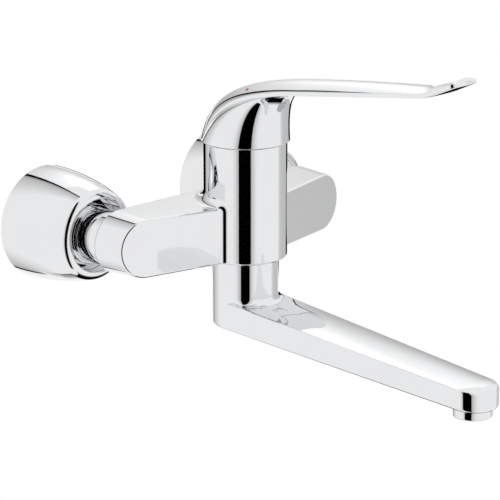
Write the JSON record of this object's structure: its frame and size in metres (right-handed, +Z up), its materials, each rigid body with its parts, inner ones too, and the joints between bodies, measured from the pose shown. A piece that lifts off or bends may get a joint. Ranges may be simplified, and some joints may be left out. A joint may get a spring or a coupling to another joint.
{
  "type": "elbow lever tap",
  "caption": "Wall-mounted single-lever mixer tap with a long elbow lever, a swivel spout, bell escutcheons and a ceramic-disc cartridge.",
  "frame": {"origin": "on the finished wall, midway between the axes of the two wall threads", "axes": "X along the wall, +Y into the wall, +Z up; the lever and the spout point along -Y"},
  "size_m": [0.2192, 0.3125, 0.1942],
  "materials": {
    "chrome": "polished chrome plate",
    "brass": "turned brass",
    "steel": "turned stainless steel",
    "rubber": "matt sealing rubber",
    "ceramic": "lapped ceramic",
    "white_plastic": "moulded white plastic",
    "grey_plastic": "moulded grey plastic",
    "red_plastic": "moulded red plastic",
    "blue_plastic": "moulded blue plastic"
  },
  "bodies": {
    "tap_body": {"body_casting": "chrome", "left_wall_union": "brass", "right_wall_union": "brass", "left_escutcheon": "chrome", "right_escutcheon": "chrome", "left_union_nut": "chrome", "right_union_nut": "chrome", "left_union_washer": "rubber", "right_union_washer": "rubber", "left_inlet_nipple": "brass", "right_inlet_nipple": "brass", "cartridge_base": "white_plastic", "port_seals": "rubber", "fixed_disc": "ceramic", "cartridge_housing": "white_plastic", "cartridge_nut": "brass", "cover_ring": "chrome", "spout_spigot": "brass", "spigot_o_rings": "rubber", "glide_ring": "white_plastic", "retaining_clip": "steel"},
    "temperature_guide": {"turning_guide": "grey_plastic", "temperature_limiter": "red_plastic"},
    "lever": {"handle": "chrome", "handle_grub_screw": "steel", "handle_plug": "grey_plastic", "index_red": "red_plastic", "index_blue": "blue_plastic", "lever_spindle": "steel", "spindle_pin": "steel"},
    "flow_slider": {"disc_carrier": "grey_plastic", "moving_disc": "ceramic"},
    "swivel_spout": {"spout": "chrome", "aerator_housing": "chrome", "aerator_insert": "white_plastic", "aerator_screen": "steel", "aerator_gasket": "rubber"}
  },
  "joints": [
    {"name": "spout_swivel", "type": "hinge", "parent": "tap_body", "child": "swivel_spout", "pos_m": [0, -0.0985, -0.038], "axis": [0, 0, 1], "range_deg": [-70, 70]},
    {"name": "lever_turn", "type": "hinge", "parent": "tap_body", "child": "temperature_guide", "pos_m": [0, -0.0985, 0.032], "axis": [0, 0, 1], "range_deg": [-50, 50]},
    {"name": "lever_lift", "type": "hinge", "parent": "temperature_guide", "child": "lever", "pos_m": [0, -0.0985, 0.032], "axis": [-1, 0, 0], "range_deg": [0, 22]},
    {"name": "disc_slide", "type": "slide", "parent": "temperature_guide", "child": "flow_slider", "axis": [0, -1, 0], "range_m": [0, 0.005]}
  ],
  "couplings": [
    {"joint": "disc_slide", "follows": "lever_lift", "m_per_rad": 0.013}
  ]
}
